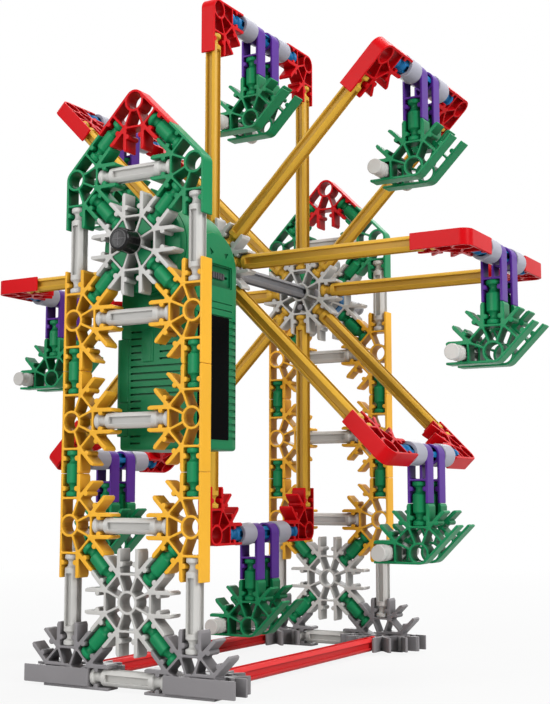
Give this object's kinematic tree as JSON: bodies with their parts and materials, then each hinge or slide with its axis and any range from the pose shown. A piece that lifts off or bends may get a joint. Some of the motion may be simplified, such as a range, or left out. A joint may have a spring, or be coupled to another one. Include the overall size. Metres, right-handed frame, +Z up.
{
  "type": "toy ferris wheel",
  "caption": "Motor-driven toy ferris wheel of snap-together rods and connectors, with hanging gondolas between braced towers.",
  "frame": {"origin": "Centre of the whole object's bounding box, on the surface it stands on.", "axes": "+Z is up. The axle lies along Y, the motor's tower on the -Y side. X is to the right seen from the motor."},
  "size_m": [0.247, 0.1928, 0.2694],
  "materials": {
    "yellow_plastic": "gloss",
    "gold_plastic": "gloss",
    "red_plastic": "gloss",
    "green_plastic": "gloss",
    "white_plastic": "gloss",
    "grey_plastic": "satin",
    "blue_plastic": "gloss",
    "purple_plastic": "gloss",
    "silver_plastic": "satin",
    "motor_green_plastic": "satin",
    "black_rubber": "satin",
    "label_film": "satin",
    "cell_steel": "satin",
    "contact_steel": "satin",
    "brass": "satin"
  },
  "bodies": {
    "frame": {"yellow_connectors": "yellow_plastic", "tower_long_rods": "white_plastic", "tower_short_rods": "green_plastic", "axle_connectors": "white_plastic", "brace_connectors": "white_plastic", "shoulder_connectors": "green_plastic", "apex_connectors": "red_plastic", "foot_upright_plates": "grey_plastic", "foot_flat_plates": "grey_plastic", "base_rods": "red_plastic", "motor_case": "motor_green_plastic", "motor_back_cover": "motor_green_plastic", "battery_cover": "motor_green_plastic", "gear_housing": "motor_green_plastic", "gear_housing_lid": "motor_green_plastic", "side_label": "label_film", "battery_cells": "cell_steel", "battery_contacts": "contact_steel", "case_screws": "contact_steel", "motor_can": "contact_steel"},
    "wheel": {"axle": "grey_plastic", "axle_cap": "black_rubber", "hub_connectors": "white_plastic", "spokes": "gold_plastic", "rim_connectors": "red_plastic", "rim_crossbars": "blue_plastic", "rim_spacers": "silver_plastic", "axle_spacer": "blue_plastic", "hub_lock_clip": "grey_plastic", "output_drive": "motor_green_plastic"},
    "motor_rotor": {"motor_pinion": "brass"},
    "idler": {"reduction_gear": "white_plastic"},
    "switch": {"switch_slider": "grey_plastic"},
    "gondola_1": {"gondola_1_hangers": "purple_plastic", "gondola_1_sides": "green_plastic", "gondola_1_bar": "white_plastic"},
    "gondola_2": {"gondola_2_hangers": "purple_plastic", "gondola_2_sides": "green_plastic", "gondola_2_bar": "white_plastic"},
    "gondola_3": {"gondola_3_hangers": "purple_plastic", "gondola_3_sides": "green_plastic", "gondola_3_bar": "white_plastic"},
    "gondola_4": {"gondola_4_hangers": "purple_plastic", "gondola_4_sides": "green_plastic", "gondola_4_bar": "white_plastic"},
    "gondola_5": {"gondola_5_hangers": "purple_plastic", "gondola_5_sides": "green_plastic", "gondola_5_bar": "white_plastic"},
    "gondola_6": {"gondola_6_hangers": "purple_plastic", "gondola_6_sides": "green_plastic", "gondola_6_bar": "white_plastic"},
    "gondola_7": {"gondola_7_hangers": "purple_plastic", "gondola_7_sides": "green_plastic", "gondola_7_bar": "white_plastic"},
    "gondola_8": {"gondola_8_hangers": "purple_plastic", "gondola_8_sides": "green_plastic", "gondola_8_bar": "white_plastic"}
  },
  "joints": [
    {"name": "wheel_spin", "type": "hinge", "parent": "frame", "child": "wheel", "pos_m": [0.00125, -0.01007, 0.15875], "axis": [0, 1, 0], "continuous": true},
    {"name": "motor_spin", "type": "hinge", "parent": "frame", "child": "motor_rotor", "pos_m": [0.00868, -0.06007, 0.15132], "axis": [0, 1, 0], "continuous": true},
    {"name": "reduction_spin", "type": "hinge", "parent": "frame", "child": "idler", "pos_m": [0.00233, -0.06007, 0.14851], "axis": [0, 1, 0], "continuous": true},
    {"name": "switch_slide", "type": "slide", "parent": "frame", "child": "switch", "axis": [0, 1, 0], "range_m": [-0.004, 0.004]},
    {"name": "gondola_1_swing", "type": "hinge", "parent": "wheel", "child": "gondola_1", "pos_m": [0.10732, 0.00233, 0.15875], "axis": [0, 1, 0], "continuous": true},
    {"name": "gondola_2_swing", "type": "hinge", "parent": "wheel", "child": "gondola_2", "pos_m": [0.07625, 0.00233, 0.23375], "axis": [0, 1, 0], "continuous": true},
    {"name": "gondola_3_swing", "type": "hinge", "parent": "wheel", "child": "gondola_3", "pos_m": [0.00125, 0.00233, 0.26482], "axis": [0, 1, 0], "continuous": true},
    {"name": "gondola_4_swing", "type": "hinge", "parent": "wheel", "child": "gondola_4", "pos_m": [-0.07375, 0.00233, 0.23375], "axis": [0, 1, 0], "continuous": true},
    {"name": "gondola_5_swing", "type": "hinge", "parent": "wheel", "child": "gondola_5", "pos_m": [-0.10481, 0.00233, 0.15875], "axis": [0, 1, 0], "continuous": true},
    {"name": "gondola_6_swing", "type": "hinge", "parent": "wheel", "child": "gondola_6", "pos_m": [-0.07375, 0.00233, 0.08375], "axis": [0, 1, 0], "continuous": true},
    {"name": "gondola_7_swing", "type": "hinge", "parent": "wheel", "child": "gondola_7", "pos_m": [0.00125, 0.00233, 0.05268], "axis": [0, 1, 0], "continuous": true},
    {"name": "gondola_8_swing", "type": "hinge", "parent": "wheel", "child": "gondola_8", "pos_m": [0.07625, 0.00233, 0.08375], "axis": [0, 1, 0], "continuous": true}
  ],
  "couplings": [
    {"joint": "motor_spin", "follows": "wheel_spin", "ratio": 12.909},
    {"joint": "reduction_spin", "follows": "wheel_spin", "ratio": -4.05},
    {"joint": "gondola_1_swing", "follows": "wheel_spin", "ratio": -1},
    {"joint": "gondola_2_swing", "follows": "wheel_spin", "ratio": -1},
    {"joint": "gondola_3_swing", "follows": "wheel_spin", "ratio": -1},
    {"joint": "gondola_4_swing", "follows": "wheel_spin", "ratio": -1},
    {"joint": "gondola_5_swing", "follows": "wheel_spin", "ratio": -1},
    {"joint": "gondola_6_swing", "follows": "wheel_spin", "ratio": -1},
    {"joint": "gondola_7_swing", "follows": "wheel_spin", "ratio": -1},
    {"joint": "gondola_8_swing", "follows": "wheel_spin", "ratio": -1}
  ]
}
